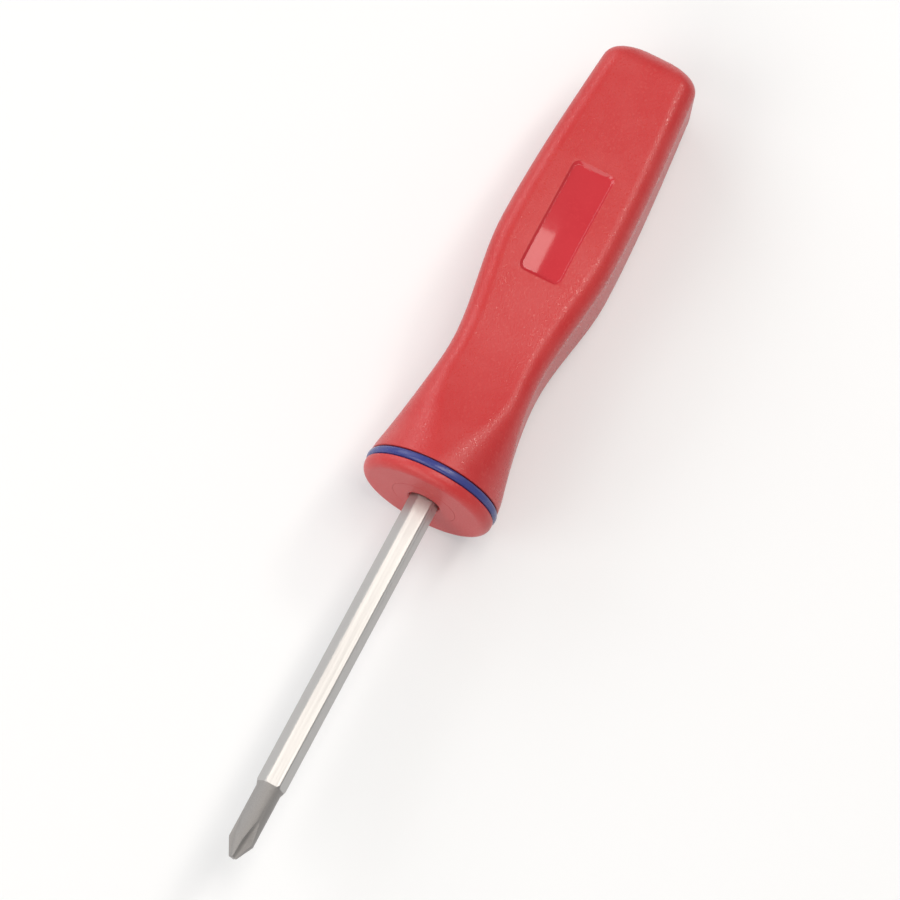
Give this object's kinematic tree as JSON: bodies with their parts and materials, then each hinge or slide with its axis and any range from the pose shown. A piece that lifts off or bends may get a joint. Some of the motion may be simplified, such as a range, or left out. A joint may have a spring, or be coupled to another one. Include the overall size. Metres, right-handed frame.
{
  "type": "screwdriver",
  "caption": "Cross-head screwdriver: hexagonal plated blade with a fluted tip, waisted red handle with flats, domed butt and a badge recess, and a blue ring in a groove behind the nose.",
  "frame": {"origin": "centre of the blunt end face of the cross tip", "axes": "+X along the tool's axis from the tip to the butt, +Z out of the handle flat with the badge recess, +Y across"},
  "size_m": [0.1714, 0.0262, 0.0262],
  "materials": {
    "plated_steel": "bright nickel-chrome plating on the hexagon, dull grey blasted cross tip",
    "red_plastic": "moulded with a fine spark-eroded texture, satin on the flats, smoother in the badge recess",
    "red_core_plastic": "moulded, semi-gloss front end",
    "blue_rubber": "smooth elastic ring with a soft sheen"
  },
  "bodies": {
    "root": {"blade": "plated_steel", "handle_body": "red_plastic", "handle_core": "red_core_plastic", "colour_ring": "blue_rubber"}
  },
  "joints": []
}
